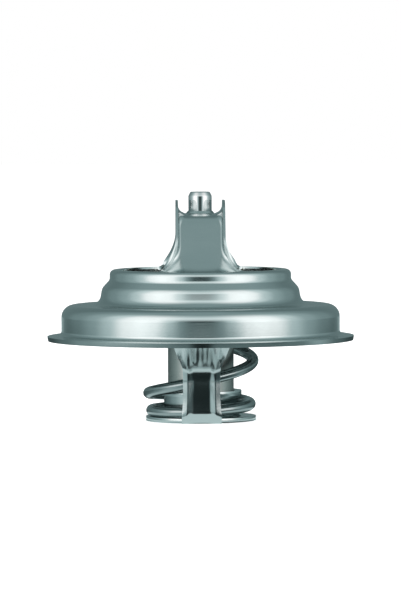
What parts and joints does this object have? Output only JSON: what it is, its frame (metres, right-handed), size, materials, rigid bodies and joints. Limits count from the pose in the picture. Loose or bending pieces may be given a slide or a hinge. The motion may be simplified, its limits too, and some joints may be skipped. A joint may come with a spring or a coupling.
{
  "type": "engine thermostat",
  "caption": "Wax-element engine thermostat: stepped round steel housing with a bridge and pin on top, a sprung valve disc inside, and a guide frame and coil spring below.",
  "frame": {"origin": "centre of the mounting flange, on its underside", "axes": "+Z along the piston, from the spring side towards the bridge; the bridge and the frame's legs lie along Y"},
  "size_m": [0.067, 0.067, 0.0499],
  "materials": {
    "plated_steel": "bright zinc-plated pressed steel",
    "ground_steel": "ground and polished",
    "spring_steel": "drawn wire, dull",
    "can_steel": "drawn can, satin",
    "guide_brass": "turned",
    "black_rubber": "moulded",
    "white_plastic": "moulded",
    "wax": "solid wax"
  },
  "bodies": {
    "housing": {"housing": "plated_steel", "lower_frame": "plated_steel", "piston": "ground_steel"},
    "valve": {"valve_disc": "plated_steel", "valve_seal": "black_rubber", "spring": "spring_steel", "wax_can": "can_steel", "guide_body": "guide_brass", "rubber_boot": "black_rubber", "support_washer": "white_plastic", "piston_wiper": "black_rubber", "wax_charge": "wax"}
  },
  "joints": [
    {"name": "valve_lift", "type": "slide", "parent": "housing", "child": "valve", "axis": [0, 0, -1], "range_m": [0, 0.008], "stiffness_N_per_m": 4000, "springref_m": -0.012, "deforming": ["spring"]}
  ]
}
